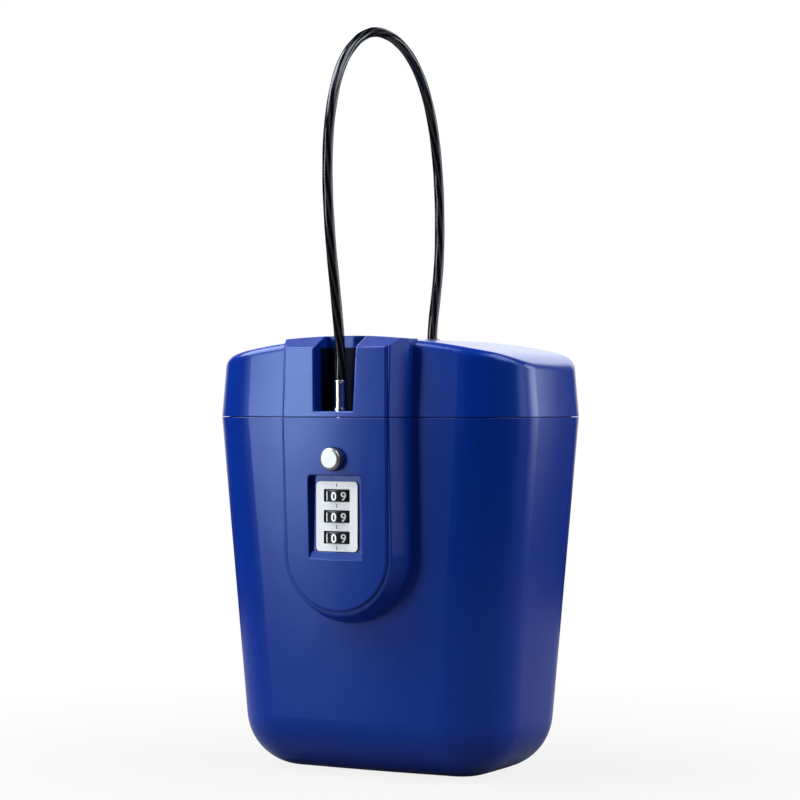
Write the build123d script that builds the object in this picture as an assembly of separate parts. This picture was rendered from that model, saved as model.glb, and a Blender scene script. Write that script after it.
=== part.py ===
from build123d import *
import math
import os

# Portable safe: a drafted blue case with an arched lid hinged at the back, a three-dial
# lock in a raised housing at the front, and a steel cable that closes into the lock.
# Millimetres, +Z up, front towards -Y, origin at the centre of the flat base.

# Case
case_height = 150.0
rim_half_width = 75.0
rim_half_depth = 45.2
base_half_width = 62.3
base_half_depth = 40.8
base_round = 24.0
corner_radius = 27.0
front_bulge = 3.5
side_bulge = 2.5
wall = 2.6
tongue_height = 2.2
tongue_wall = 1.4
tongue_gap = 0.4
tongue_root = 3.0

# Lid
seam_gap = 0.3
lid_height = 33.5
lid_draft = 0.08
arch_radius = 290.0
arch_half_span = 60.0
arch_end_drop = 9.8
lid_round = 4.0

# Lock housing, shared by the case and the lid: a proud panel on a base with flared flanks
housing_depth = 12.8
housing_half_width = 24.5
housing_foot_half_width = 23.75
housing_arc_drop = 56.2
housing_root = 7.2
case_lean = 0.037
lid_lean = 0.045
lid_narrowing = 0.024
panel_step = 1.7
panel_ledge = 0.7
panel_root = 5.0
panel_edge_round = 0.7
panel_bow_radius = 470.0
flank_flare = 0.42
flank_return = 0.3
flank_edge_round = 0.5
housing_rise = 0.5
housing_bevel_height = 5.2
housing_bevel_depth = 10.0
hollow_half_width = 20.2
hollow_flare = 0.23
hollow_roof = 3.0

# Recess in the lid for the end of the cable
recess_half_width = 9.0
recess_flare = 0.032
recess_depth = 13.0
recess_floor = 2.4
guide_wall = 1.2
guide_setback = 6.9
guide_drop = 4.6
guide_gap = 0.1

# Dials and their plate
dial_radius = 6.6
dial_rim_height = 4.4
dial_hub_radius = 3.0
dial_hub_height = 8.2
dial_bore_gap = 0.1
dial_pitch = 8.65
dial_count = 3
dial_setback = 7.4
middle_dial_drop = 40.7
detent_radius = 0.5
digits_per_dial = 10
dial_edge = 0.3
pocket_half_width = 12.6
pocket_top_drop = 23.6
pocket_foot_drop = 58.6
pocket_sill = 3.2
pocket_shelf = 3.4
pocket_round = 1.6
plate_thickness = 0.8
plate_half_width = 9.75
plate_height = 28.8
plate_round = 1.8
window_half_width = 6.1
window_height = 5.2
mark_width = 0.4
mark_height = 1.5
mark_depth = 0.25
spindle_radius = 1.4
pad_thickness = 1.2
pad_margin = 1.0

# Button and latch
button_drop = 17.0
button_radius = 4.75
button_proud = 3.2
button_edge_round = 1.3
button_flange = 1.4
button_flange_thickness = 1.0
stem_radius = 2.0
slide_gap = 0.2
latch_drop = 9.6
latch_thickness = 1.6
latch_reach = 4.2
latch_tab_thickness = 1.6
latch_tab_drop = 10.0
latch_nose_half_width = 2.4
latch_nose_length = 1.1
spring_radius = 2.2
spring_wire = 0.3
spring_turns = 5

# Lock frame and the cover inside the case
frame_half_width = 15.5
frame_wall = 1.3
frame_foot_drop = 62.4
frame_plate = 1.9
frame_shelf_drop = 26.8
ledge_width = 2.0
ledge_thickness = 1.2
cover_half_width = 24.6
cover_wall = 1.7
cover_depth = 8.6
cover_gap = 0.25
post_offset = 18.7
post_radius = 2.7
screw_radius = 1.25
screw_head_radius = 2.5
screw_head_height = 1.6
screw_head_round = 0.6
screw_slot_width = 0.6
screw_slot_length = 3.0
screw_hole_gap = 0.2
thread_bite = 0.05
screw_depth = 7.0
leaf_thickness = 0.5
leaf_half_width = 4.0
leaf_finger_height = 1.2

# Locking pin, ferrule and cable
pin_setback = 6.6
pin_radius = 2.0
pin_tip_drop = 11.8
pin_tip_bevel = 0.7
pin_groove_depth = 0.6
pin_flange_radius = 3.0
pin_flange_height = 1.1
ferrule_height = 11.4
ferrule_radius = 2.45
ferrule_bead = 0.35
crimp_rise = 3.0
crimp_height = 0.8
crimp_depth = 0.25
socket_bore_radius = 3.0
socket_radius = 4.0
socket_length = 7.2
socket_drop = 0.5
cable_diameter = 4.4

# Cable anchor in the lid
anchor_setback = 14.6
grommet_radius = 3.6
grommet_proud = 0.6
grommet_flange = 1.4
grommet_flange_height = 1.0
anchor_plate_half_width = 18.0
anchor_plate_half_depth = 7.0
anchor_plate_thickness = 1.5
anchor_screw_x = 12.5
anchor_screw_depth = 3.4
stop_radius = 4.0
stop_height = 6.5
stop_bevel = 0.8
edge_softening = 0.4
cable_gap = 0.25

# Lid liner and seal
liner_gap = 0.8
liner_thickness = 1.8
liner_hook = 1.4
seal_gap = 0.1
seal_width = 2.2
seal_height = 1.7
liner_post_inset_x = 23.0
liner_post_inset_y = 21.2

# Hinge
hinge_radius = 3.7
hinge_gap = 0.4
hinge_pin_radius = 1.3
hinge_half_span = 25.5
lid_knuckle_half = 12.6
case_web_drop = 16.0
lid_web_rise = 15.0

# Places worked out from the sizes above
lid_base = case_height + seam_gap
crest = case_height + lid_height
housing_front = -(rim_half_depth + housing_depth)
base_front = housing_front + panel_step
housing_back = housing_root - rim_half_depth
flank_foot = -(rim_half_depth + flank_return)
panel_back = housing_front + panel_root - 0.01
housing_arc_level = case_height - housing_arc_drop
middle_dial_level = case_height - middle_dial_drop
button_level = case_height - button_drop
latch_level = case_height - latch_drop
pin_tip_level = case_height - pin_tip_drop
frame_foot = case_height - frame_foot_drop
frame_shelf_level = case_height - frame_shelf_drop
cover_level = cover_depth - rim_half_depth
anchor_y = rim_half_depth - anchor_setback
liner_post_x = rim_half_width - liner_post_inset_x
liner_post_y = rim_half_depth - liner_post_inset_y
pin_y = housing_front + pin_setback
dial_y = housing_front + dial_setback
pocket_floor = housing_front + pocket_shelf + plate_thickness
plate_front = housing_front + pocket_shelf
pad_back = pocket_floor + pad_thickness
hollow_front = housing_front + wall + case_lean * housing_arc_drop
hollow_top = case_height - hollow_roof
socket_top = case_height - socket_drop
socket_foot = socket_top - socket_length
frame_front = hollow_front + slide_gap
cover_top = case_height - tongue_root - slide_gap
frame_top = cover_top - cover_wall - slide_gap
frame_back = cover_level - cover_wall - slide_gap
floor_level = lid_base + recess_floor
recess_back = housing_front + recess_depth
guide_front = housing_front + guide_setback
guide_top = crest - guide_drop
hinge_y = rim_half_depth + hinge_radius + hinge_gap
tongue_top = case_height + tongue_height
seal_base = tongue_top + seam_gap
liner_base = seal_base + seal_height
liner_top = liner_base + liner_thickness
roof_under = crest - wall - 0.1
flange_base = floor_level + 0.15
ferrule_base = flange_base + pin_flange_height
ferrule_top = ferrule_base + ferrule_height
anchor_plate_top = roof_under - grommet_flange_height
stop_top = anchor_plate_top - anchor_plate_thickness
far = 400.0
spare = 5.0

# Route of the cable in the plane X = 0, as (Y, Z), from the ferrule to its stop
cable_route = [
    (pin_y, ferrule_top),
    (pin_y, 178.0),
    (-55.2, 199.0),
    (-60.2, 224.0),
    (-62.9, 250.0),
    (-60.8, 275.0),
    (-50.5, 299.0),
    (-28.0, 313.8),
    (-2.0, 313.2),
    (18.5, 301.5),
    (31.5, 281.0),
    (37.8, 253.0),
    (38.2, 222.0),
    (34.5, 203.0),
    (anchor_y, 188.0),
    (anchor_y, stop_top),
]


def box(x0, x1, y0, y1, z0, z1):
    """Block between two corners."""
    centre = Pos((x0 + x1) / 2, (y0 + y1) / 2, (z0 + z1) / 2)
    return centre * Box(x1 - x0, y1 - y0, z1 - z0)


def upright(x, y, z0, z1, radius):
    """Cylinder along Z between two levels."""
    return Pos(x, y, (z0 + z1) / 2) * Cylinder(radius, z1 - z0)


def along_y(x, z, y0, y1, radius):
    """Cylinder along Y between two depths."""
    return Pos(x, (y0 + y1) / 2, z) * Rot(90, 0, 0) * Cylinder(radius, y1 - y0)


def along_x(y, z, x0, x1, radius):
    """Cylinder along X between two sides."""
    return Pos((x0 + x1) / 2, y, z) * Rot(0, 90, 0) * Cylinder(radius, x1 - x0)


def plan_outline(half_width, half_depth, corner):
    """Horizontal section: four shallow arcs with rounded corners."""
    x = half_width - side_bulge
    y = half_depth - front_bulge
    front = ThreePointArc((-x, -y), (0, -half_depth), (x, -y))
    right = ThreePointArc((x, -y), (half_width, 0), (x, y))
    back = ThreePointArc((x, y), (0, half_depth), (-x, y))
    left = ThreePointArc((-x, y), (-half_width, 0), (-x, -y))
    face = make_face(Curve() + [front, right, back, left])
    return fillet(face.vertices(), corner)


def case_form(inset):
    """Solid drafted case form with its rounded foot, drawn in all round by an inset."""
    corner = corner_radius - inset
    low = plan_outline(base_half_width - inset, base_half_depth - inset, corner)
    high = plan_outline(rim_half_width - inset, rim_half_depth - inset, corner)
    form = loft([Pos(0, 0, inset) * low, Pos(0, 0, case_height) * high], ruled=True)
    foot = [edge for edge in form.edges() if edge.bounding_box().max.Z < inset + 0.1]
    return fillet(foot, base_round - inset)


def rim_section(level, drawn_in):
    """Section at the seam, drawn in from the outside, at any level."""
    outline = plan_outline(
        rim_half_width - drawn_in, rim_half_depth - drawn_in, corner_radius - drawn_in
    )
    return Pos(0, 0, level) * outline


def arch_block(drop):
    """Everything under the lid's arch, with the arch lowered by a drop."""
    sag = arch_radius - math.sqrt(arch_radius**2 - arch_half_span**2)
    shoulder = crest - sag - drop
    end_x = rim_half_width + 3
    end_z = shoulder - arch_end_drop
    middle = ThreePointArc((-arch_half_span, shoulder), (0, crest - drop), (arch_half_span, shoulder))
    right = TangentArc((arch_half_span, shoulder), (end_x, end_z), tangent=middle % 1)
    left = mirror(right, Plane.YZ)
    sides = Polyline((end_x, end_z), (end_x, case_height), (-end_x, case_height), (-end_x, end_z))
    profile = make_face(Curve() + [middle, right, left, sides])
    return extrude(Plane.XZ * profile, far, both=True)


def lid_form(inset):
    """Solid lid form under its arch, drawn in by an inset."""
    lean = lid_draft * lid_height
    low = rim_section(lid_base, inset)
    high = rim_section(lid_base + lid_height, inset + lean)
    return loft([low, high], ruled=True) & arch_block(inset)


def round_lid(form):
    """Rounds the shoulder where the lid's sides meet its arch."""
    middle = case_height + lid_height / 2
    edges = form.edges().filter_by(lambda edge: edge.bounding_box().min.Z > middle)
    shoulder = [edge for edge in edges if abs(edge.tangent_at(0.5).Z) < 0.8]
    return fillet(shoulder, lid_round)


def tongue_outline(foot_half, top_half, top):
    """Upright outline with straight sides and a half-round foot."""
    sides = Polyline(
        (-foot_half, housing_arc_level), (-top_half, top), (top_half, top),
        (foot_half, housing_arc_level),
    )
    foot = ThreePointArc(
        (foot_half, housing_arc_level), (0, housing_arc_level - foot_half),
        (-foot_half, housing_arc_level),
    )
    return make_face(Curve() + [sides, foot])


def at_depth(y):
    """Upright plane whose normal is +Y, at a depth."""
    return Plane(origin=(0, y, 0), x_dir=(1, 0, 0), z_dir=(0, -1, 0))


def leaning_space(front):
    """Everything behind a front that leans back above and below the seam."""
    high = case_height + 2 * lid_height
    outline = Polyline(
        (front + case_lean * case_height, 0), (front, case_height),
        (front + lid_lean * (high - case_height), high), (far, high), (far, 0), close=True,
    )
    return extrude(Plane.YZ * make_face(outline), far, both=True)


def bowed_space(lean):
    """Everything behind the panel's front, which is bowed and leans back from the seam."""
    angle = math.atan(lean)
    middle = Pos(0, housing_front + panel_bow_radius / math.cos(angle), case_height)
    return middle * Rot(math.degrees(angle), 0, 0) * Cylinder(panel_bow_radius, 2 * case_height)


def round_front(body, back, radius):
    """Rounds the housing's edges in front of a depth, but not where the lid meets the case."""
    edges = []
    for edge in body.edges():
        place = edge.center()
        run = edge.bounding_box().size
        at_seam = case_height - 0.01 < place.Z < lid_base + 0.01
        if place.Y < back and run.Y < run.length / 2 and not at_seam:
            edges.append(edge)
    return fillet(edges, radius)


def case_housing():
    """Lock housing on the case: a proud panel on a base whose flanks flare to the wall."""
    foot = housing_foot_half_width
    top = housing_half_width
    wider = panel_ledge + flank_flare * (flank_foot - base_front)
    front = at_depth(base_front) * tongue_outline(foot + panel_ledge, top + panel_ledge, case_height)
    back = at_depth(flank_foot) * tongue_outline(foot + wider, top + wider, case_height)
    base = loft([front, back], ruled=True) + extrude(back, flank_foot - housing_back)
    base = round_front(base & leaning_space(base_front), flank_foot + 0.01, flank_edge_round)
    outline = at_depth(housing_front) * tongue_outline(foot, top, case_height)
    panel = extrude(outline, -panel_root) & bowed_space(case_lean)
    return base + round_front(panel, panel_back, panel_edge_round)


def case_hollow():
    """Room for the lock inside the case's housing."""
    half = hollow_half_width
    wider = half + hollow_flare * (cover_level - hollow_front)
    front = at_depth(hollow_front) * tongue_outline(half, half, hollow_top)
    back = at_depth(cover_level) * tongue_outline(wider, wider, hollow_top)
    return loft([front, back], ruled=True)


def case_web():
    """Gusset from the case's back wall out to its hinge knuckles."""
    y_wall = rim_half_depth - wall / 2
    low = (y_wall, case_height - case_web_drop)
    outer = (hinge_y + hinge_radius, case_height)
    return make_face(Polyline((y_wall, case_height), outer, low, close=True))


def lid_web():
    """Gusset from the lid's back wall out to its hinge knuckle."""
    y_wall = rim_half_depth - lid_draft * lid_web_rise - wall / 2
    outer = (hinge_y + hinge_radius, case_height)
    high = (y_wall, lid_base + lid_web_rise)
    return make_face(Polyline((y_wall, lid_base), (hinge_y, lid_base), outer, high, close=True))


def knuckle(x0, x1, web):
    """Hinge knuckle with its gusset, without its bore."""
    gusset = extrude(Plane.YZ.offset(x0) * web, x1 - x0)
    return along_x(hinge_y, case_height, x0, x1, hinge_radius) + gusset


def hinge_bore():
    """Bore for the hinge pin through all knuckles."""
    return along_x(hinge_y, case_height, -far, far, hinge_pin_radius + 0.1)


def post_places():
    """Places of the four posts that take the lock cover's screws."""
    low = housing_arc_level + 1.4
    high = frame_top - post_radius - 1.0
    return [(side * post_offset, level) for side in (-1, 1) for level in (low, high)]


def dial_levels():
    """Middle levels of the dials, from the lowest up."""
    lowest = middle_dial_level - dial_pitch * (dial_count - 1) / 2
    return [lowest + dial_pitch * place for place in range(dial_count)]


def stack_bottom():
    """Underside of the lowest dial's hub."""
    return dial_levels()[0] - dial_hub_height / 2


def stack_top():
    """Top of the highest dial's hub."""
    return dial_levels()[-1] + dial_hub_height / 2


def pocket_space(low, high):
    """Room of the dial pocket, which has a sloping sill at its foot."""
    sill_top = low + pocket_sill
    lip = housing_front + case_lean * (case_height - low)
    front = housing_front - spare
    outline = Polyline(
        (pocket_floor, high), (pocket_floor, sill_top), (plate_front, sill_top), (lip, low),
        (front, low), (front, high), close=True,
    )
    room = extrude(Plane.YZ * make_face(outline), pocket_half_width, both=True)
    corners = room.edges().filter_by(Axis.Y).filter_by(lambda edge: edge.center().Z > high - 0.01)
    return fillet(corners, pocket_round)


def case_shell():
    """Moulded case with its housing, dial pocket, posts, seam tongue and hinge knuckles."""
    shell = case_form(0) + case_housing()
    shell -= case_form(wall)
    shell -= case_hollow()
    pad_half = pocket_half_width + pad_margin
    pocket_low = case_height - pocket_foot_drop
    pocket_high = case_height - pocket_top_drop
    shell += box(
        -pad_half, pad_half, hollow_front - 0.5, pad_back, pocket_low - pad_margin,
        pocket_high + pad_margin,
    )
    for x, z in post_places():
        shell += along_y(x, z, hollow_front - 0.5, frame_back + slide_gap / 2, post_radius)
    shell += case_tongue()
    shell += knuckle(-hinge_half_span, -lid_knuckle_half - hinge_gap, case_web())
    shell += knuckle(lid_knuckle_half + hinge_gap, hinge_half_span, case_web())
    shell -= pocket_space(pocket_low, pocket_high)
    opening = dial_radius + 0.4
    shell -= box(
        -opening, opening, housing_front - 1, pad_back + 1, stack_bottom() - 0.4, stack_top() + 0.4
    )
    shell -= along_y(0, button_level, housing_front - 1, hollow_front + 1, button_radius + slide_gap)
    shell -= upright(0, pin_y, socket_foot, case_height + 1, socket_radius)
    shell -= upright(0, pin_y, button_level, case_height, socket_bore_radius)
    for x, z in post_places():
        shell -= along_y(x, z, frame_back - screw_depth, frame_back + 1, screw_radius - thread_bite)
    return shell - hinge_bore()


def case_tongue():
    """Thin raised lip inside the case's rim that steps into the lid."""
    outer = wall + tongue_gap
    root = case_height - tongue_root
    ring = extrude(rim_section(root, wall - 0.3), tongue_root)
    ring += extrude(rim_section(root, outer), tongue_top - root)
    return ring - extrude(rim_section(root - 1, outer + tongue_wall), tongue_root + tongue_height + 2)


def dial_plate():
    """Bright plate round the dials, with a window for each and index marks between."""
    face = RectangleRounded(plate_half_width * 2, plate_height, plate_round)
    plane = Plane(origin=(0, pocket_floor, middle_dial_level), x_dir=(1, 0, 0), z_dir=(0, -1, 0))
    plate = extrude(plane * face, plate_thickness)
    for level in dial_levels():
        half = window_height / 2
        plate -= box(
            -window_half_width, window_half_width, plate_front - 1, pocket_floor + 1, level - half,
            level + half,
        )
    for place in range(dial_count + 1):
        level = dial_levels()[0] + dial_pitch * (place - 0.5)
        plate -= box(
            -mark_width / 2, mark_width / 2, plate_front - 1, plate_front + mark_depth,
            level - mark_height / 2, level + mark_height / 2,
        )
    return plate


def dial(level):
    """Number wheel on its hub, with one detent groove for each digit."""
    wheel = upright(0, dial_y, level - dial_rim_height / 2, level + dial_rim_height / 2, dial_radius)
    wheel = chamfer(wheel.edges().filter_by(GeomType.CIRCLE), dial_edge)
    hub_low = level - dial_hub_height / 2
    hub_high = level + dial_hub_height / 2
    wheel += upright(0, dial_y, hub_low, hub_high, dial_hub_radius)
    for place in range(digits_per_dial):
        angle = 2 * math.pi * place / digits_per_dial
        x = dial_hub_radius * math.sin(angle)
        y = dial_y + dial_hub_radius * math.cos(angle)
        wheel -= upright(x, y, hub_low - 1, level - dial_rim_height / 2, detent_radius)
    return wheel - upright(0, dial_y, hub_low - 1, hub_high + 1, spindle_radius + dial_bore_gap)


def dial_spindle():
    """Pin that the dials turn on, held in the lock frame."""
    return upright(0, dial_y, frame_foot + 0.4, frame_shelf_level + frame_plate, spindle_radius)


def lock_frame():
    """Bracket that holds the spindle and guides the latch."""
    inner = frame_half_width - frame_wall
    frame = box(
        -frame_half_width, frame_half_width, frame_front, frame_back, frame_foot, frame_top
    )
    frame -= box(
        -inner, inner, frame_front - 1, frame_back + 1, frame_foot + frame_plate, frame_shelf_level
    )
    frame -= box(
        -inner, inner, frame_front - 1, frame_back + 1, frame_shelf_level + frame_plate,
        frame_top - frame_plate,
    )
    shelf_front = pad_back + 0.1
    frame -= box(
        -inner, inner, frame_front - 1, shelf_front, frame_foot + frame_plate, frame_top - frame_plate
    )
    ledge_top = latch_level - 0.1
    for side in (-1, 1):
        ends = sorted((side * (inner + 0.2), side * (inner - ledge_width)))
        frame += box(ends[0], ends[1], pin_y, frame_back, ledge_top - ledge_thickness, ledge_top)
    frame -= upright(0, dial_y, frame_foot - 1, frame_shelf_level + frame_plate + 1, spindle_radius)
    return frame - upright(0, pin_y, frame_top - frame_plate - 1, frame_top + 1, socket_radius + 0.1)


def detent_spring():
    """Leaf spring on the cover, with one finger for each dial."""
    back = frame_back + slide_gap / 2
    low = dial_levels()[0] - dial_hub_height / 2
    high = dial_levels()[-1]
    leaf = box(-leaf_half_width, leaf_half_width, back - leaf_thickness, back, low - 2, high + 2)
    tip = dial_y + dial_hub_radius + 0.3
    for level in dial_levels():
        z = level - (dial_rim_height + dial_hub_height) / 4
        half = leaf_finger_height / 2
        leaf += box(-1.2, 1.2, tip, back - leaf_thickness / 2, z - half, z + half)
    return leaf


def lock_cover():
    """Cap inside the case that closes the lock away from the contents."""
    half = cover_half_width
    inner = half - cover_wall
    outside = at_depth(-far) * tongue_outline(half, half, cover_top)
    inside = at_depth(-far) * tongue_outline(inner, inner, cover_top - cover_wall)
    reach = far + cover_level
    cap = extrude(outside, -reach)
    cap = cap & case_form(wall + cover_gap)
    cap -= extrude(inside, -(reach - cover_wall))
    for x, z in post_places():
        cap -= along_y(x, z, cover_level - cover_wall - 1, cover_level + 1, screw_radius + screw_hole_gap)
    return cap


def screw(depth):
    """Pan-head screw that points along -Z from the underside of its head."""
    head = Pos(0, 0, screw_head_height / 2) * Cylinder(screw_head_radius, screw_head_height)
    head = fillet(head.edges().filter_by(GeomType.CIRCLE).sort_by(Axis.Z)[-1], screw_head_round)
    slot = Pos(0, 0, screw_head_height) * Box(screw_slot_width, screw_slot_length, 2 * screw_slot_width)
    head -= slot + Rot(0, 0, 90) * slot
    return head + Pos(0, 0, -depth / 2) * Cylinder(screw_radius - thread_bite, depth)


def lock_cover_screws():
    """Four screws through the lock cover into the posts."""
    depth = cover_wall + screw_depth - 1.5
    turned = Rot(-90, 0, 0) * screw(depth)
    return Compound(children=[Pos(x, cover_level, z) * turned for x, z in post_places()])


def pin_socket():
    """Steel bush in the top of the case that takes the locking pin."""
    bush = upright(0, pin_y, socket_foot, socket_top, socket_radius)
    return bush - upright(0, pin_y, 0, far, socket_bore_radius)


def release_button():
    """Round button with its retaining flange and stem."""
    front = housing_front - button_proud
    flange_front = hollow_front + slide_gap
    flange_back = flange_front + button_flange_thickness
    stem_end = tab_front() - 0.15
    head = along_y(0, button_level, front, flange_back, button_radius)
    head = fillet(head.edges().filter_by(GeomType.CIRCLE).sort_by(Axis.Y)[0], button_edge_round)
    ears = along_y(0, button_level, flange_front, flange_back, button_radius + button_flange)
    ears = ears & box(
        -far, far, -far, far, button_level - button_radius, button_level + button_radius
    )
    return head + ears + along_y(0, button_level, flange_back - 0.5, stem_end, stem_radius)


def nose_tip():
    """Front of the latch nose, drawn back clear of the pin on the opening code."""
    return pin_y + pin_radius + 0.3


def tab_front():
    """Face of the latch tab that the button's stem pushes."""
    return nose_tip() + latch_reach - latch_tab_thickness


def latch():
    """Sliding latch with a nose for the pin's groove and a tab for the button."""
    top = latch_level + latch_thickness
    tab_back = tab_front() + latch_tab_thickness
    half = frame_half_width - frame_wall - 0.25
    body_front = nose_tip() + latch_nose_length
    plate = box(-half, half, body_front, tab_back, latch_level, top)
    plate += box(
        -latch_nose_half_width, latch_nose_half_width, nose_tip() - 1, body_front, latch_level, top
    )
    plate -= upright(0, pin_y, latch_level - 1, top + 1, pin_radius + 0.3)
    low = latch_level - latch_tab_drop
    return plate + box(-half / 2, half / 2, tab_front(), tab_back, low, latch_level + 0.5)


def latch_spring():
    """Coil that pushes the latch and the button forward again."""
    start = tab_front() + latch_tab_thickness + spring_wire
    end = frame_back - spring_wire
    length = end - start
    path = Helix(length / spring_turns, length, spring_radius)
    coil = sweep(Plane(origin=path @ 0, z_dir=path % 0) * Circle(spring_wire), path=path)
    return Pos(0, start, button_level) * Rot(-90, 0, 0) * coil


def locking_pin():
    """Hardened pin with a latch groove, a bevelled tip and a flange."""
    pin = upright(0, pin_y, pin_tip_level, ferrule_base, pin_radius)
    pin = chamfer(pin.edges().filter_by(GeomType.CIRCLE).sort_by(Axis.Z)[0], pin_tip_bevel)
    groove = upright(0, pin_y, latch_level - 0.3, latch_level + latch_thickness + 0.3, pin_radius + 1)
    groove -= upright(0, pin_y, 0, far, pin_radius - pin_groove_depth)
    flange = upright(0, pin_y, flange_base, ferrule_base, pin_flange_radius)
    flange = fillet(flange.edges().filter_by(GeomType.CIRCLE).sort_by(Axis.Z)[-1], edge_softening)
    return pin - groove + flange


def cable_ferrule():
    """Crimped bright sleeve at the front end of the cable."""
    sleeve = upright(0, pin_y, ferrule_base, ferrule_top, ferrule_radius)
    bead = upright(0, pin_y, ferrule_top - 1.0, ferrule_top, ferrule_radius + ferrule_bead)
    bead = fillet(bead.edges().filter_by(GeomType.CIRCLE), 0.3)
    crimp_base = ferrule_base + crimp_rise
    crimp = upright(0, pin_y, crimp_base, crimp_base + crimp_height, ferrule_radius + 1)
    crimp -= upright(0, pin_y, 0, far, ferrule_radius - crimp_depth)
    return sleeve + bead - crimp


def cable_radii(points):
    """Bend radius at each inner point, as large as its two runs allow."""
    radii = []
    for before, here, after in zip(points, points[1:], points[2:]):
        turn = (here - before).get_angle(after - here)
        shorter = min((here - before).length, (after - here).length)
        radii.append(0.45 * shorter / math.tan(math.radians(turn / 2)))
    return radii


def cable():
    """Coated steel cable from the ferrule over to its stop in the lid."""
    points = [Vector(0, y, z) for y, z in cable_route]
    radii = cable_radii(points)
    path = FilletPolyline(*points, radius=radii)
    section = Plane(origin=path @ 0, z_dir=path % 0) * Circle(cable_diameter / 2)
    tube = sweep(section, path=path)
    print("cable bend radii", [round(radius, 1) for radius in radii])
    expected = math.pi * (cable_diameter / 2) ** 2 * path.length
    print("cable length", round(path.length, 2), "volume", round(tube.volume, 2), round(expected, 2))
    return tube


def narrowing_outline(half):
    """Upright outline of the upper housing, a little narrower towards its top."""
    top = crest + housing_rise + 1
    slim = half - lid_narrowing * (top - lid_base)
    corners = [(-half, lid_base), (half, lid_base), (slim, top), (-slim, top)]
    return make_face(Polyline(*corners, close=True))


def lid_wedge(front, half):
    """Upper housing block with flared, narrowing flanks and a leaning front."""
    wide = half + flank_flare * (flank_foot - front)
    nose = at_depth(front) * narrowing_outline(half)
    foot = at_depth(flank_foot) * narrowing_outline(wide)
    wedge = loft([nose, foot], ruled=True) + extrude(foot, flank_foot - housing_back)
    return wedge & leaning_space(front)


def bevel_space(inset):
    """Wedge above the housing's sloping top edge, lowered by an inset."""
    high = crest + housing_rise - inset
    low = high - housing_bevel_height
    front = housing_front + inset + lid_lean * (low - case_height)
    back = front + housing_bevel_depth
    outline = Polyline(
        (front, low), (back, high + 0.01), (back, high + spare), (front - spare, high + spare),
        (front - spare, low - spare * housing_bevel_height / housing_bevel_depth), close=True,
    )
    return extrude(Plane.YZ * make_face(outline), far, both=True)


def lid_panel():
    """Proud front panel of the upper housing, open at the recess."""
    outline = at_depth(housing_front) * narrowing_outline(housing_half_width)
    panel = extrude(outline, -panel_root) & bowed_space(-lid_lean) & arch_block(-housing_rise)
    return round_front(panel - bevel_space(0) - recess(0), panel_back, panel_edge_round)


def lid_housing(inset):
    """Upper part of the lock housing on the lid, drawn in by an inset."""
    body = lid_wedge(base_front + inset, housing_half_width + panel_ledge - inset)
    if inset == 0:
        body = round_front(body, flank_foot + 0.01, flank_edge_round)
    body = body & arch_block(inset - housing_rise)
    return body - bevel_space(inset)


def recess(margin):
    """Slot at the front of the lid that is open forwards and upwards, grown by a margin."""
    low = recess_half_width + margin
    high = low + recess_flare * lid_height
    level = floor_level - margin
    top = crest + spare
    face = make_face(Polyline((-low, level), (low, level), (high, top), (-high, top), close=True))
    depth = recess_back + margin - (housing_front - 2)
    return extrude(at_depth(housing_front - 2) * face, -depth)


def guide_room(margin):
    """Rear part of the recess below the roof's front edge, grown by a margin."""
    return recess(margin) & box(-far, far, guide_front, far, floor_level, guide_top)


def pin_guide():
    """Dark channel that lines the rear of the recess round the locking pin."""
    return guide_room(guide_wall) - recess(0)


def liner_places():
    """Places of the four posts that carry the liner."""
    return [(x, y) for x in (-liner_post_x, liner_post_x) for y in (-liner_post_y, liner_post_y)]


def lid_shell():
    """Moulded lid with its housing, cable recess, posts, anchor bosses and hinge knuckle."""
    shell = round_lid(lid_form(0)) + lid_housing(0) + lid_panel()
    hollow = lid_form(wall) + lid_housing(wall)
    shell -= hollow - recess(wall)
    posts = [upright(x, y, liner_top, crest, post_radius) for x, y in liner_places()]
    posts += [
        upright(side * anchor_screw_x, anchor_y, anchor_plate_top, crest, post_radius + 0.4)
        for side in (-1, 1)
    ]
    for post in posts:
        shell += post & lid_form(wall / 2)
    shell = shell - recess(0) - guide_room(guide_wall + guide_gap)
    shell += knuckle(-lid_knuckle_half, lid_knuckle_half, lid_web())
    shell -= upright(0, pin_y, lid_base - 1, floor_level + 1, pin_radius + 0.2)
    shell -= upright(0, anchor_y, roof_under - 1, crest + 1, grommet_radius)
    for x, y in liner_places():
        shell -= upright(x, y, liner_top - 1, liner_top + screw_depth, screw_radius - thread_bite)
    for side in (-1, 1):
        bore_top = anchor_plate_top + anchor_screw_depth
        x = side * anchor_screw_x
        shell -= upright(x, anchor_y, anchor_plate_top - 1, bore_top, screw_radius - thread_bite)
    return shell - hinge_bore()


def lid_liner():
    """Flat liner that closes the underside of the lid and holds the seal."""
    edge = wall + liner_gap
    liner = extrude(rim_section(liner_base, edge), liner_thickness)
    hook = edge + seal_width + seal_gap
    liner += extrude(rim_section(seal_base, hook), seal_height + liner_thickness / 2)
    liner -= extrude(rim_section(seal_base - 1, hook + liner_hook), seal_height + 1)
    for x, y in liner_places():
        liner -= upright(x, y, liner_base - 1, liner_top + 1, screw_radius + screw_hole_gap)
    return liner


def lid_seal():
    """Rubber ring that the lid presses onto the case's tongue."""
    edge = wall + liner_gap
    ring = extrude(rim_section(seal_base, edge), seal_height)
    return ring - extrude(rim_section(seal_base - 1, edge + seal_width), seal_height + 2)


def liner_screws():
    """Four screws through the liner into the lid's posts."""
    depth = liner_thickness + screw_depth - 1.5
    turned = Rot(180, 0, 0) * screw(depth)
    return Compound(children=[Pos(x, y, liner_base) * turned for x, y in liner_places()])


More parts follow.
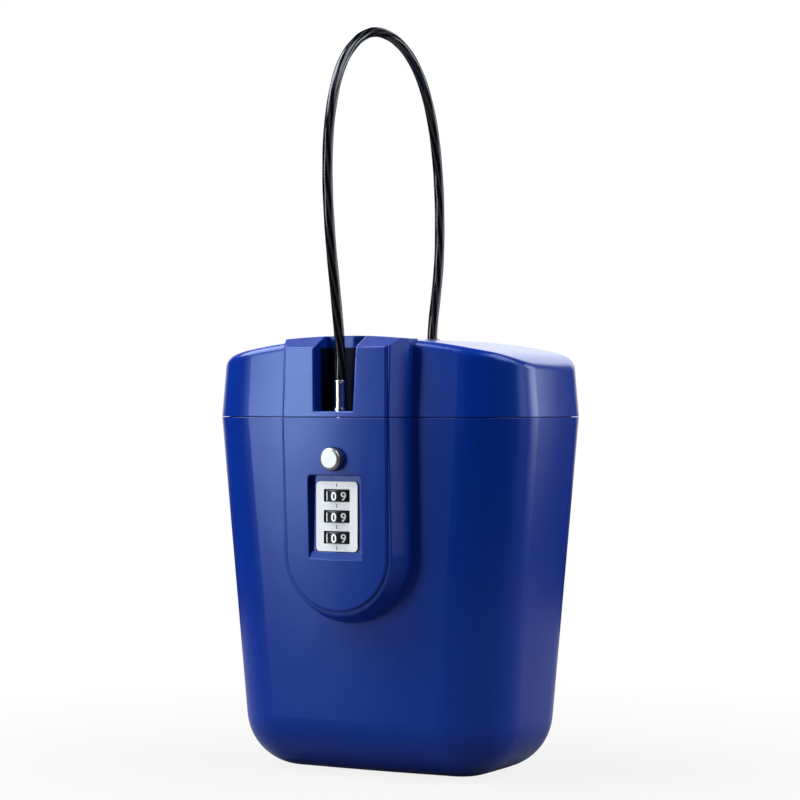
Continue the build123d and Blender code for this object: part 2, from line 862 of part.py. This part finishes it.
def anchor_plate():
    """Steel plate under the lid's roof that takes the pull of the cable."""
    plate = box(
        -anchor_plate_half_width, anchor_plate_half_width, anchor_y - anchor_plate_half_depth,
        anchor_y + anchor_plate_half_depth, stop_top, anchor_plate_top,
    )
    plate = fillet(plate.edges().filter_by(Axis.Z), 3.0)
    plate -= upright(0, anchor_y, 0, far, cable_diameter / 2 + cable_gap)
    for side in (-1, 1):
        plate -= upright(side * anchor_screw_x, anchor_y, 0, far, screw_radius + screw_hole_gap)
    return plate


def anchor_screws():
    """Two screws that hold the anchor plate to the lid's bosses."""
    depth = anchor_plate_thickness + anchor_screw_depth - 0.4
    turned = Rot(180, 0, 0) * screw(depth)
    places = [Pos(side * anchor_screw_x, anchor_y, stop_top) for side in (-1, 1)]
    return Compound(children=[place * turned for place in places])


def cable_grommet():
    """Flanged bush that guides the cable through the lid's roof."""
    bush = upright(0, anchor_y, roof_under - grommet_flange_height, crest + grommet_proud, grommet_radius)
    bush = fillet(bush.edges().filter_by(GeomType.CIRCLE).sort_by(Axis.Z)[-1], edge_softening)
    bush += upright(
        0, anchor_y, roof_under - grommet_flange_height, roof_under, grommet_radius + grommet_flange
    )
    return bush - upright(0, anchor_y, 0, far, cable_diameter / 2 + cable_gap)


def cable_stop():
    """Crimped stop on the hidden end of the cable."""
    stop = upright(0, anchor_y, stop_top - stop_height, stop_top, stop_radius)
    return chamfer(stop.edges().filter_by(GeomType.CIRCLE).sort_by(Axis.Z)[0], stop_bevel)


def hinge_pin():
    """Steel pin through the knuckles of the case and the lid."""
    return along_x(hinge_y, case_height, -hinge_half_span, hinge_half_span, hinge_pin_radius)


def make_parts():
    """Every piece under its own name."""
    low, middle, high = dial_levels()
    return {
        "case_shell": case_shell(),
        "lid_shell": lid_shell(),
        "pin_guide": pin_guide(),
        "hinge_pin": hinge_pin(),
        "lid_liner": lid_liner(),
        "lid_seal": lid_seal(),
        "liner_screws": liner_screws(),
        "anchor_plate": anchor_plate(),
        "anchor_screws": anchor_screws(),
        "cable_grommet": cable_grommet(),
        "cable_stop": cable_stop(),
        "cable": cable(),
        "cable_ferrule": cable_ferrule(),
        "locking_pin": locking_pin(),
        "pin_socket": pin_socket(),
        "lock_frame": lock_frame(),
        "lock_cover": lock_cover(),
        "lock_cover_screws": lock_cover_screws(),
        "release_button": release_button(),
        "latch": latch(),
        "latch_spring": latch_spring(),
        "dial_plate": dial_plate(),
        "dial_spindle": dial_spindle(),
        "detent_spring": detent_spring(),
        "dial_top": dial(high),
        "dial_middle": dial(middle),
        "dial_bottom": dial(low),
    }


os.makedirs("parts", exist_ok=True)
for name, shape in make_parts().items():
    export_step(shape, "parts/" + name + ".step")
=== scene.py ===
import math

import bmesh
import bpy
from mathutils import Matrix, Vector


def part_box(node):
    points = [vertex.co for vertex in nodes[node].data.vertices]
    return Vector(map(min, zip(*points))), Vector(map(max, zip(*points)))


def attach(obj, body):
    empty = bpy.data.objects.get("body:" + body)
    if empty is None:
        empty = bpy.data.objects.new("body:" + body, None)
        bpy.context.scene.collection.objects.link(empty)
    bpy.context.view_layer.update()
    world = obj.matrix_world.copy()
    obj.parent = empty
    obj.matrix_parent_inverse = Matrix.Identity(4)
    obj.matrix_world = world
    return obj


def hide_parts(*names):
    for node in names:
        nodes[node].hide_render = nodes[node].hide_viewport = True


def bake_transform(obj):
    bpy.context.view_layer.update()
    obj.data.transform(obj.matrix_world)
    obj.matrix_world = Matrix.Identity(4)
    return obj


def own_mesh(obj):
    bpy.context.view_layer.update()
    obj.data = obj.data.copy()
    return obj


# Portable safe: finishes, number wheels, cable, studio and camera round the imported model.
# Metres, degrees, +Z up, front towards -Y, origin at the centre of the flat base.
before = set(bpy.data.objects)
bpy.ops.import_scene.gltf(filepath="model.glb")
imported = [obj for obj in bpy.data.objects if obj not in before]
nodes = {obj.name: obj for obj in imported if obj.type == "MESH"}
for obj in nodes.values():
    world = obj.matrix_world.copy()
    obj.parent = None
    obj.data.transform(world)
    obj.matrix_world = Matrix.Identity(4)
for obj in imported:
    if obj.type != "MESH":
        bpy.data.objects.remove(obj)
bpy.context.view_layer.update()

MM = 0.001

# Camera: level, seen from the right of the front, with its lens in millimetres
CAMERA_AZIMUTH = 28.14
CAMERA_DISTANCE = 1.086
CAMERA_LEVEL = 0.15729
CAMERA_LENS = 113.4
CAMERA_SIDESTEP = 0.0003

# Soft boxes: azimuth from the front towards +X, elevation, width, height, watts
LAMP_DISTANCE = 1.7
LAMP_TARGET = Vector((0, 0, 0.12))
LAMP_TINT = (0.86, 0.93, 1.0)
SOFT_BOXES = {
    "left_bright": (-34.4, 10.0, 0.24, 0.92, 18.0),
    "left_pale": (-44.0, 14.0, 0.40, 0.80, 1.0),
    "left_high": (-40.0, 38.0, 0.35, 0.30, 2.0),
    "left_back": (-141.0, 33.0, 0.50, 0.50, 2.6),
    "back": (190.0, 24.0, 1.40, 1.00, 4.4),
    "right_back": (135.8, 12.0, 0.64, 1.00, 13.2),
    "right_pale": (106.0, 13.0, 0.50, 1.10, 5.0),
    "high_left": (-68.0, 50.0, 1.20, 1.20, 66.0),
    "high_right": (92.0, 52.0, 1.20, 1.20, 36.0),
}

# World: strength of its light on the object, and in the object's gloss
WORLD_FILL = 0.14
WORLD_IN_GLOSS = 0.02

# Floor and card: sizes, whiteness to the camera, and strength in the object's gloss
FLOOR_RADIUS = 0.5
FLOOR_SIDES = 96
FLOOR_DROP = 0.2 * MM
FLOOR_WHITENESS = 0.86
FLOOR_IN_GLOSS = 0.45
CARD_DISTANCE = 2.6
CARD_LEVEL = 0.98
CARD_HALF_WIDTH = 1.6
CARD_HALF_HEIGHT = 1.0
CARD_WHITENESS = 1.0
CARD_IN_GLOSS = 0.95

# Fade of floor and card from their middles outwards, in millimetres. Gloss has it faster
FADE_START = 90.0
FADE_WIDTH = 250.0
GLOSS_FADE_GAIN = 2.5

# White, the grey of floor and card, and the tint of the blue plastic's gloss
WHITE = (1.0, 1.0, 1.0, 1.0)
STAGE_GREY = (0.2, 0.2, 0.2, 1.0)
BLUE_SHEEN = (0.45, 0.6, 1.0, 1.0)

# Rounding of the moulded edges
EDGE_SOFTNESS = 0.5 * MM
EDGE_SAMPLES = 6

# Marks in the finishes: sizes and depths in millimetres, and how far streaks are drawn out
FLOW_MARK_SIZE = 34.0
FLOW_MARK_DEPTH = 0.30
CLOUD_SIZE = 9.0
SCUFF_SIZE = 2.6
TARNISH_SIZE = 3.0
STREAK_STRETCH = 8.0
STREAK_DEPTH = 0.006
BLASTED_GRAIN_SIZE = 0.16
BLASTED_GRAIN_DEPTH = 0.012
# Depth behind the dial plate's front past which it is coloured dark: mark paint, and painted
# shade on its window's walls
SUNK_PAINT_AND_SHADE_DEPTH = 0.12

# Cable
CABLE_DIAMETER = 4.4 * MM
CABLE_SIDES = 40
STRANDS = 6
STRAND_TURN_LENGTH = 17 * MM
STRAND_RELIEF = 0.012 * MM
STRAND_SHARPNESS = 2.5
WIRES_PER_STRAND = 3.0
WIRE_TURNS = 22.0

# Route of the cable in the plane X = 0, as (Y, Z) in metres, from the ferrule to its stop
CABLE_ROUTE = [
    (-0.0514, 0.16535),
    (-0.0514, 0.1780),
    (-0.0552, 0.1990),
    (-0.0602, 0.2240),
    (-0.0629, 0.2500),
    (-0.0608, 0.2750),
    (-0.0505, 0.2990),
    (-0.0280, 0.3138),
    (-0.0020, 0.3132),
    (0.0185, 0.3015),
    (0.0315, 0.2810),
    (0.0378, 0.2530),
    (0.0382, 0.2220),
    (0.0345, 0.2030),
    (0.0306, 0.1880),
    (0.0306, 0.1783),
]
ROUTE_STEPS = 24

# Digits of the number wheels, set a little below the middle. Weight widens their outlines,
# and lift is how far the middle of the paint stands proud
DIGITS = 10
DIGIT_HEIGHT = 3.45 * MM
DIGIT_DROP = 0.25 * MM
DIGIT_WEIGHT = 0.07 * MM
DIGIT_SLICE = 0.35 * MM
PAINT_HALF_THICKNESS = 0.03 * MM
PAINT_LIFT = 0.6 * PAINT_HALF_THICKNESS

# Sockets of a Mix node for colours, which have the same names as those for numbers
MIX_FIRST = 6
MIX_SECOND = 7
MIX_RESULT = 2


class Wire:
    """Output of a shader node. Sums, products and comparisons of it add Math nodes."""

    def __init__(self, tree, socket=None):
        self.tree = tree
        self.socket = socket

    def node(self, kind, settings=None, inputs=None, output=0):
        """Adds a node: its settings first, then the values or links of its sockets."""
        made = self.tree.nodes.new(kind)
        for name, value in (settings or {}).items():
            setattr(made, name, value)
        for name, value in (inputs or {}).items():
            if isinstance(value, Wire):
                self.tree.links.new(value.socket, made.inputs[name])
            else:
                made.inputs[name].default_value = value
        return Wire(self.tree, made.outputs[output])

    def math(self, operation, first, second=0.0, clip=False):
        settings = {"operation": operation, "use_clamp": clip}
        return self.node("ShaderNodeMath", settings, {0: first, 1: second})

    def __add__(self, other):
        return self.math("ADD", self, other)

    def __radd__(self, other):
        return self.math("ADD", other, self)

    def __sub__(self, other):
        return self.math("SUBTRACT", self, other)

    def __rsub__(self, other):
        return self.math("SUBTRACT", other, self)

    def __mul__(self, other):
        return self.math("MULTIPLY", self, other)

    def __rmul__(self, other):
        return self.math("MULTIPLY", other, self)

    def __truediv__(self, other):
        return self.math("DIVIDE", self, other)

    def __rtruediv__(self, other):
        return self.math("DIVIDE", other, self)

    def __gt__(self, other):
        return self.math("GREATER_THAN", self, other)

    def clip(self):
        return self.math("ADD", self, 0.0, clip=True)

    def sine(self):
        return self.math("SINE", self)

    def power(self, exponent):
        return self.math("POWER", self, exponent)


def srgb(red, green, blue):
    """Linear colour of a display colour given in 0 to 255."""
    def linear(value):
        value = value / 255
        return value / 12.92 if value <= 0.04045 else ((value + 0.055) / 1.055) ** 2.4
    return (linear(red), linear(green), linear(blue), 1.0)


def new_material(name):
    """Empty material with its output, as (material, wire to its tree, output node)."""
    material = bpy.data.materials.new(name)
    material.use_nodes = True
    tree = material.node_tree
    tree.nodes.clear()
    output = tree.nodes.new("ShaderNodeOutputMaterial")
    return material, Wire(tree), output


def surface(name, build, **constants):
    """Material of one Principled shader. build returns what varies over the surface."""
    material, wire, output = new_material(name)
    varied = build(wire)
    shader = wire.node("ShaderNodeBsdfPrincipled", inputs={**constants, **varied})
    wire.tree.links.new(shader.socket, output.inputs["Surface"])
    return material


def place_in_mm(wire):
    """Place on the object, in millimetres, so that every scale below is a real size."""
    place = wire.node("ShaderNodeTexCoord", output="Object")
    return wire.node(
        "ShaderNodeVectorMath", {"operation": "SCALE"}, {0: place, "Scale": 1 / MM}
    )


def noise(wire, place, size, detail=2.0, roughness=0.5):
    """Noise from 0 to 1 whose grain is about a size in millimetres."""
    inputs = {"Vector": place, "Scale": 1 / size, "Detail": detail, "Roughness": roughness}
    return wire.node("ShaderNodeTexNoise", inputs=inputs)


def swing(mask, amount):
    """Swing of a mask about its middle, over an amount in all."""
    return (mask - 0.5) * amount


def above(mask, level, gain):
    """Mask that rises from 0 where another one passes a level, as steeply as the gain."""
    return ((mask - level) * gain).clip()


def wave(phase):
    """Sine wave between 0 and 1."""
    return phase.sine() * 0.5 + 0.5


def blend_colours(wire, amount, first, second):
    """Colour between two, by an amount."""
    inputs = {0: amount, MIX_FIRST: first, MIX_SECOND: second}
    return wire.node("ShaderNodeMix", {"data_type": "RGBA"}, inputs, output=MIX_RESULT)


def bumped(wire, height, depth_mm, strength=1.0, normal=None):
    """Normal of a relief whose height runs from 0 to 1 over a depth in millimetres."""
    inputs = {"Height": height, "Distance": depth_mm * MM, "Strength": strength}
    if normal is not None:
        inputs["Normal"] = normal
    return wire.node("ShaderNodeBump", inputs=inputs)


def moulded(name, deep, pale, rough, grain_mm=0.32, grain_depth=0.012, gloss=0.5, tint=WHITE):
    """Moulded plastic: fine eroded grain, soft flow marks, faint rub marks and soft edges."""
    def build(wire):
        edges = wire.node("ShaderNodeBevel", {"samples": EDGE_SAMPLES}, {"Radius": EDGE_SOFTNESS})
        place = place_in_mm(wire)
        grain = noise(wire, place, grain_mm, detail=3.0, roughness=0.6)
        flow = noise(wire, place, FLOW_MARK_SIZE)
        cloud = noise(wire, place, CLOUD_SIZE, detail=3.0)
        scuffs = noise(wire, place, SCUFF_SIZE, detail=5.0, roughness=0.7)
        rubbed = above(scuffs, level=0.6, gain=6.0) * above(cloud, level=0.5, gain=5.0)
        swell = bumped(wire, flow, FLOW_MARK_DEPTH, strength=0.35, normal=edges)
        return {
            "Base Color": blend_colours(wire, (flow * 0.7 + cloud * 0.3).clip(), deep, pale),
            "Roughness": rough + swing(cloud, 0.05) + rubbed * 0.06 + swing(grain, 0.03),
            "Normal": bumped(wire, grain, grain_depth, normal=swell),
        }
    return surface(
        name, build, **{"IOR": 1.5, "Specular IOR Level": gloss, "Specular Tint": tint}
    )


def metal(name, bright, dull, rough, streak_mm=0.15, tarnish=0.15):
    """Metal with fine machining streaks and a little tarnish."""
    def build(wire):
        place = place_in_mm(wire)
        inputs = {0: place, 1: (1.0, 1.0, STREAK_STRETCH)}
        stretched = wire.node("ShaderNodeVectorMath", {"operation": "MULTIPLY"}, inputs)
        streaks = noise(wire, stretched, streak_mm * STREAK_STRETCH)
        patches = noise(wire, place, TARNISH_SIZE, detail=4.0, roughness=0.6)
        stained = above(patches, level=0.5, gain=3.0) * tarnish
        return {
            "Base Color": blend_colours(wire, stained, bright, dull),
            "Roughness": rough + swing(streaks, 0.12) + stained * 0.25,
            "Normal": bumped(wire, streaks, STREAK_DEPTH),
        }
    return surface(name, build, **{"Metallic": 1.0})


def coat_finish():
    """Black vinyl coat with the twisted strands showing faintly through it."""
    def build(wire):
        lay = wire.node("ShaderNodeUVMap", {"uv_map": "lay"})
        round_turns = wire.node("ShaderNodeSeparateXYZ", inputs={0: lay}, output="X")
        lay_turns = wire.node("ShaderNodeSeparateXYZ", inputs={0: lay}, output="Y")
        phase = (round_turns * STRANDS + lay_turns) * (2 * math.pi)
        strand = wave(phase).power(STRAND_SHARPNESS)
        wires = wave(phase * WIRES_PER_STRAND + lay_turns * WIRE_TURNS) * strand
        dust = noise(wire, place_in_mm(wire), size=1.3, detail=4.0, roughness=0.65)
        seen = (strand * 0.2 + wires * 0.4 * (dust + 0.3)).clip()
        return {
            "Base Color": blend_colours(wire, seen, srgb(6, 6, 8), srgb(70, 70, 75)),
            "Roughness": 0.10 + swing(dust, 0.06) + strand * 0.03,
            "Normal": bumped(wire, strand, depth_mm=0.03, strength=0.5),
        }
    return surface("cable_coat", build, **{"IOR": 1.5, "Specular IOR Level": 0.26})


def rubber_finish():
    """Dull black seal rubber."""
    def build(wire):
        place = place_in_mm(wire)
        bloom = noise(wire, place, size=4.0, detail=3.0)
        grain = noise(wire, place, size=0.3)
        return {
            "Base Color": blend_colours(wire, bloom, srgb(22, 22, 23), srgb(40, 40, 42)),
            "Roughness": 0.68 + swing(bloom, 0.2),
            "Normal": bumped(wire, grain, depth_mm=0.03),
        }
    return surface("seal_rubber", build)


def paint_finish():
    """Thin white paint of the digits, a little worn."""
    def build(wire):
        wear = noise(wire, place_in_mm(wire), size=0.5, detail=3.0)
        worn = above(wear, level=0.62, gain=4.0)
        return {
            "Base Color": blend_colours(wire, worn, srgb(236, 236, 232), srgb(190, 190, 188)),
            "Roughness": 0.42 + worn * 0.2,
        }
    return surface("digit_paint", build)


def plate_finish():
    """Satin nickel plate, fine blasted grain, dark index-mark paint and painted shade on its
    window walls.
    """
    front = min(vertex.co.y for vertex in nodes["dial_plate"].data.vertices) / MM

    def build(wire):
        place = place_in_mm(wire)
        depth = wire.node("ShaderNodeSeparateXYZ", inputs={0: place}, output="Y")
        # Dark behind the plate's front: paint in the index marks, and painted shade on the
        # window's walls
        sunk_paint_and_shade = depth > front + SUNK_PAINT_AND_SHADE_DEPTH
        grain = noise(wire, place, BLASTED_GRAIN_SIZE, detail=3.0, roughness=0.6)
        cloud = noise(wire, place, size=5.0)
        nickel = blend_colours(wire, cloud, srgb(199, 198, 197), srgb(189, 188, 188))
        return {
            "Base Color": blend_colours(wire, sunk_paint_and_shade, nickel, srgb(40, 40, 44)),
            "Roughness": 0.46 + swing(grain, 0.2) + swing(cloud, 0.08),
            "Normal": bumped(wire, grain, BLASTED_GRAIN_DEPTH),
        }
    return surface("bright_plate", build, **{"Metallic": 0.25})


def object_finishes():
    """Material of each group of pieces."""
    return {
        "blue": moulded(
            "blue_shell", srgb(2, 32, 108), srgb(4, 37, 116), rough=0.24,
            gloss=0.36, tint=BLUE_SHEEN,
        ),
        "inner": moulded("lock_plastic", srgb(26, 27, 30), srgb(38, 39, 43), rough=0.45),
        # Guide in the pin recess: dark plastic, made near-black navy with almost no gloss as
        # painted shade of the recess
        "guide": moulded("guide_painted_shade", srgb(2, 3, 20), srgb(4, 6, 28), rough=0.6, gloss=0.06),
        "wheel": moulded(
            "dial_plastic", srgb(12, 12, 14), srgb(20, 20, 23), rough=0.36,
            grain_mm=0.2, grain_depth=0.006,
        ),
        "grommet": moulded("grommet_plastic", srgb(12, 13, 18), srgb(22, 23, 28), rough=0.4),
        "rubber": rubber_finish(),
        "coat": coat_finish(),
        "chrome": metal("polished_metal", srgb(232, 233, 236), srgb(180, 178, 172), rough=0.2),
        "button": metal("button_metal", srgb(150, 150, 146), srgb(132, 132, 130), rough=0.4),
        "plate": plate_finish(),
        "steel": metal(
            "steel", srgb(176, 178, 182), srgb(120, 116, 108), rough=0.3,
            streak_mm=0.2, tarnish=0.4,
        ),
        "spring": metal(
            "spring_steel", srgb(150, 150, 152), srgb(96, 92, 86), rough=0.28,
            streak_mm=0.2, tarnish=0.3,
        ),
        "paint": paint_finish(),
    }


def finish_nodes(finishes):
    """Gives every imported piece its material."""
    groups = {
        "blue": ("case_shell", "lid_shell"),
        "inner": ("lid_liner", "lock_frame", "lock_cover"),
        "guide": ("pin_guide",),
        "wheel": ("dial_top", "dial_middle", "dial_bottom"),
        "grommet": ("cable_grommet",),
        "rubber": ("lid_seal",),
        "coat": ("cable",),
        "chrome": ("cable_ferrule", "locking_pin"),
        "button": ("release_button",),
        "plate": ("dial_plate",),
        "steel": (
            "hinge_pin", "liner_screws", "anchor_plate", "anchor_screws", "cable_stop",
            "pin_socket", "lock_cover_screws", "latch", "dial_spindle",
        ),
        "spring": ("latch_spring", "detent_spring"),
    }
    for group, names in groups.items():
        for name in names:
            mesh = nodes[name].data
            mesh.materials.clear()
            mesh.materials.append(finishes[group])


def mesh_of(shape, name):
    """Mesh of a finished shape, which is freed."""
    mesh = bpy.data.meshes.new(name)
    shape.to_mesh(mesh)
    shape.free()
    return mesh


def new_object(name, mesh, material):
    """Links a mesh into the scene under one material."""
    piece = bpy.data.objects.new(name, mesh)
    bpy.context.scene.collection.objects.link(piece)
    mesh.materials.clear()
    mesh.materials.append(material)
    return piece


def smooth_line(route, steps):
    """Points along the quadratic spline that a route's points control."""
    curve = bpy.data.curves.new("route", "CURVE")
    curve.dimensions = "3D"
    spline = curve.splines.new("NURBS")
    spline.points.add(len(route) - 1)
    for point, (y, z) in zip(spline.points, route):
        point.co = (0, y, z, 1)
    spline.order_u = 3
    spline.use_endpoint_u = True
    spline.resolution_u = steps
    curve_object = bpy.data.objects.new("route", curve)
    bpy.context.scene.collection.objects.link(curve_object)
    mesh = bpy.data.meshes.new_from_object(curve_object)
    points = [vertex.co.copy() for vertex in mesh.vertices]
    bpy.data.objects.remove(curve_object)
    bpy.data.meshes.remove(mesh)
    return points


def tube_mesh(name, points, radius_at, sides, turn_length):
    """Tube along points in a plane of constant X. Its map holds turns round and along it."""
    shape = bmesh.new()
    layer = shape.loops.layers.uv.new("lay")
    side = Vector((1, 0, 0))
    rings = []
    lengths = [0.0]
    for before, here in zip(points, points[1:]):
        lengths.append(lengths[-1] + (here - before).length)
    for place, here in enumerate(points):
        ahead = points[min(place + 1, len(points) - 1)] - points[max(place - 1, 0)]
        out = ahead.normalized().cross(side)
        ring = []
        for step in range(sides):
            angle = 2 * math.pi * step / sides
            arm = side * math.cos(angle) + out * math.sin(angle)
            reach = radius_at(step / sides, lengths[place] / turn_length)
            ring.append(shape.verts.new(here + arm * reach))
        rings.append(ring)
    for place, (low, high) in enumerate(zip(rings, rings[1:])):
        for step in range(sides):
            after = (step + 1) % sides
            face = shape.faces.new((low[step], low[after], high[after], high[step]))
            face.smooth = True
            corners = ((step, place), (step + 1, place), (step + 1, place + 1), (step, place + 1))
            for loop, (column, row) in zip(face.loops, corners):
                loop[layer].uv = (column / sides, lengths[row] / turn_length)
    for ring in (rings[0], rings[-1]):
        shape.faces.new(ring)
    bmesh.ops.recalc_face_normals(shape, faces=shape.faces)
    return mesh_of(shape, name)


def add_cable(material):
    """Coated cable on its smooth route, with the strands' slight relief."""
    line = smooth_line(CABLE_ROUTE, ROUTE_STEPS)
    reach = CABLE_DIAMETER / 2 - STRAND_RELIEF

    def radius_at(turn, lay):
        return reach + STRAND_RELIEF * math.sin(2 * math.pi * (STRANDS * turn + lay))

    mesh = tube_mesh("cable_line", line, radius_at, CABLE_SIDES, STRAND_TURN_LENGTH)
    cable = new_object("cable_line", mesh, material)
    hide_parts("cable")
    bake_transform(cable)


def add_coil(material):
    """Latch spring of its own, copied from the imported one and carried with the case."""
    source = nodes["latch_spring"]
    mesh = source.data.copy()
    mesh.transform(source.matrix_world)
    coil = new_object("latch_coil", mesh, material)
    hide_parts("latch_spring")
    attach(coil, "case")
    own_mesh(coil)


def digit_shape(number):
    """Thin plate of one digit, centred and cut into slices that can bend."""
    curve = bpy.data.curves.new("digit", "FONT")
    curve.body = str(number)
    curve.size = 1.0
    text = bpy.data.objects.new("digit", curve)
    bpy.context.scene.collection.objects.link(text)
    bpy.context.view_layer.update()
    mesh = bpy.data.meshes.new_from_object(text)
    heights = [vertex.co.y for vertex in mesh.vertices]
    curve.size = DIGIT_HEIGHT / (max(heights) - min(heights))
    curve.offset = DIGIT_WEIGHT
    curve.extrude = PAINT_HALF_THICKNESS
    bpy.context.view_layer.update()
    bpy.data.meshes.remove(mesh)
    mesh = bpy.data.meshes.new_from_object(text)
    shape = bmesh.new()
    shape.from_mesh(mesh)
    bpy.data.objects.remove(text)
    bpy.data.meshes.remove(mesh)
    xs = [vertex.co.x for vertex in shape.verts]
    ys = [vertex.co.y for vertex in shape.verts]
    middle = Vector(((min(xs) + max(xs)) / 2, (min(ys) + max(ys)) / 2, 0))
    bmesh.ops.translate(shape, verts=shape.verts, vec=-middle)
    reach = (max(xs) - min(xs)) / 2
    slices = math.ceil(2 * reach / DIGIT_SLICE)
    for cut in range(1, slices):
        place = -reach + 2 * reach * cut / slices
        everything = shape.verts[:] + shape.edges[:] + shape.faces[:]
        bmesh.ops.bisect_plane(shape, geom=everything, plane_co=(place, 0, 0), plane_no=(1, 0, 0))
    return shape


def add_digits(wheel, material):
    """Ten painted digits round one number wheel, with 0 at the front."""
    low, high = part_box(wheel)
    centre = (low + high) / 2
    radius = (high.x - low.x) / 2
    level = centre.z - DIGIT_DROP
    whole = bmesh.new()
    for number in range(DIGITS):
        shape = digit_shape(number)
        facing = -2 * math.pi * number / DIGITS
        for vertex in shape.verts:
            angle = facing + vertex.co.x / radius
            reach = radius + PAINT_LIFT + vertex.co.z
            vertex.co = Vector((
                centre.x + reach * math.sin(angle), centre.y - reach * math.cos(angle),
                level + vertex.co.y,
            ))
        piece = mesh_of(shape, "digit")
        whole.from_mesh(piece)
        bpy.data.meshes.remove(piece)
    name = wheel + "_digits"
    digits = new_object(name, mesh_of(whole, name), material)
    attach(digits, wheel)


def add_camera():
    """Level camera at the photograph's viewing angle."""
    turn = math.radians(CAMERA_AZIMUTH)
    data = bpy.data.cameras.new("camera")
    data.lens = CAMERA_LENS
    camera = bpy.data.objects.new("camera", data)
    camera.location = (
        math.sin(turn) * CAMERA_DISTANCE + math.cos(turn) * CAMERA_SIDESTEP,
        -math.cos(turn) * CAMERA_DISTANCE + math.sin(turn) * CAMERA_SIDESTEP,
        CAMERA_LEVEL,
    )
    camera.rotation_euler = (math.pi / 2, 0, turn)
    bpy.context.scene.collection.objects.link(camera)
    bpy.context.scene.camera = camera


def around(azimuth, elevation, distance):
    """Point seen from the lamp target at an azimuth from the front and an elevation."""
    turn = math.radians(azimuth)
    rise = math.radians(elevation)
    flat = distance * math.cos(rise)
    offset = Vector((math.sin(turn) * flat, -math.cos(turn) * flat, distance * math.sin(rise)))
    return LAMP_TARGET + offset


def add_lamp(name, azimuth, elevation, width, height, watts):
    """Soft box that faces the object."""
    data = bpy.data.lights.new(name, "AREA")
    data.shape = "RECTANGLE"
    data.size = width
    data.size_y = height
    data.energy = watts
    data.color = LAMP_TINT
    lamp = bpy.data.objects.new(name, data)
    lamp.location = around(azimuth, elevation, LAMP_DISTANCE)
    lamp.rotation_euler = (LAMP_TARGET - lamp.location).to_track_quat("-Z", "Y").to_euler()
    lamp.visible_camera = False
    bpy.context.scene.collection.objects.link(lamp)


def ray_masks(wire):
    """Masks of the rays that the camera sees by, also through glass, and of those in gloss."""
    camera = wire.node("ShaderNodeLightPath", output="Is Camera Ray")
    through = wire.node("ShaderNodeLightPath", output="Is Transmission Ray")
    glossy = wire.node("ShaderNodeLightPath", output="Is Glossy Ray")
    return (camera + through).clip(), glossy


def mix_shaders(wire, share, first, second):
    """Shader between two, by the share of the second."""
    return wire.node("ShaderNodeMixShader", inputs={0: share, 1: first, 2: second})


def glow(wire, strength):
    """Even white light given off by a surface."""
    return wire.node("ShaderNodeEmission", inputs={"Color": WHITE, "Strength": strength})


def add_world():
    """White to the camera, and a low even fill for the object."""
    world = bpy.data.worlds.new("studio")
    world.use_nodes = True
    world.node_tree.nodes.clear()
    wire = Wire(world.node_tree)
    output = wire.tree.nodes.new("ShaderNodeOutputWorld")
    seen, glossy = ray_masks(wire)
    fill, in_gloss, white = (
        wire.node("ShaderNodeBackground", inputs={"Color": WHITE, "Strength": strength})
        for strength in (WORLD_FILL, WORLD_IN_GLOSS, 1.0)
    )
    unseen = mix_shaders(wire, glossy, fill, in_gloss)
    mixed = mix_shaders(wire, seen, unseen, white)
    wire.tree.links.new(mixed.socket, output.inputs["Surface"])
    bpy.context.scene.world = world


def stage_finish(name, whiteness, in_gloss):
    """Plain grey for the light on the object, white for the camera and pale in its gloss.

    The camera sees it white by its whiteness in the middle and wholly white far out. Gloss
    sees the middle plain, and the rest at a strength of its own.
    """
    material, wire, output = new_material(name)
    seen, glossy = ray_masks(wire)
    plain = wire.node("ShaderNodeBsdfDiffuse", inputs={"Color": STAGE_GREY})
    settings = {"operation": "LENGTH"}
    far_out = wire.node("ShaderNodeVectorMath", settings, {0: place_in_mm(wire)}, "Value")
    fading = ((far_out - FADE_START) / FADE_WIDTH).clip()
    share = whiteness + fading * (1.0 - whiteness)
    shown = mix_shaders(wire, seen * share, plain, glow(wire, 1.0))
    near_gloss = (fading * GLOSS_FADE_GAIN).clip()
    mirrored = mix_shaders(wire, near_gloss, plain, glow(wire, in_gloss))
    mixed = mix_shaders(wire, glossy, shown, mirrored)
    wire.tree.links.new(mixed.socket, output.inputs["Surface"])
    return material


def add_stage():
    """Pale floor, and a tall card behind the object that its lid mirrors."""
    disc = bmesh.new()
    bmesh.ops.create_circle(disc, cap_ends=True, segments=FLOOR_SIDES, radius=FLOOR_RADIUS)
    floor_white = stage_finish("floor_white", FLOOR_WHITENESS, FLOOR_IN_GLOSS)
    floor = new_object("floor", mesh_of(disc, "floor"), floor_white)
    floor.location.z = -FLOOR_DROP
    sheet = bmesh.new()
    bmesh.ops.create_grid(sheet, x_segments=1, y_segments=1, size=1.0)
    card_white = stage_finish("card_white", CARD_WHITENESS, CARD_IN_GLOSS)
    card = new_object("card", mesh_of(sheet, "card"), card_white)
    turn = math.radians(CAMERA_AZIMUTH)
    card.location = (
        -math.sin(turn) * CARD_DISTANCE, math.cos(turn) * CARD_DISTANCE, CARD_LEVEL
    )
    card.rotation_euler = (math.pi / 2, 0, turn)
    card.scale = (CARD_HALF_WIDTH, CARD_HALF_HEIGHT, 1.0)


add_camera()
finishes = object_finishes()
finish_nodes(finishes)
add_cable(finishes["coat"])
add_coil(finishes["spring"])
for dial in ("dial_top", "dial_middle", "dial_bottom"):
    add_digits(dial, finishes["paint"])
add_world()
add_stage()
for name, values in SOFT_BOXES.items():
    add_lamp(name, *values)
bpy.context.scene.view_settings.view_transform = "Standard"
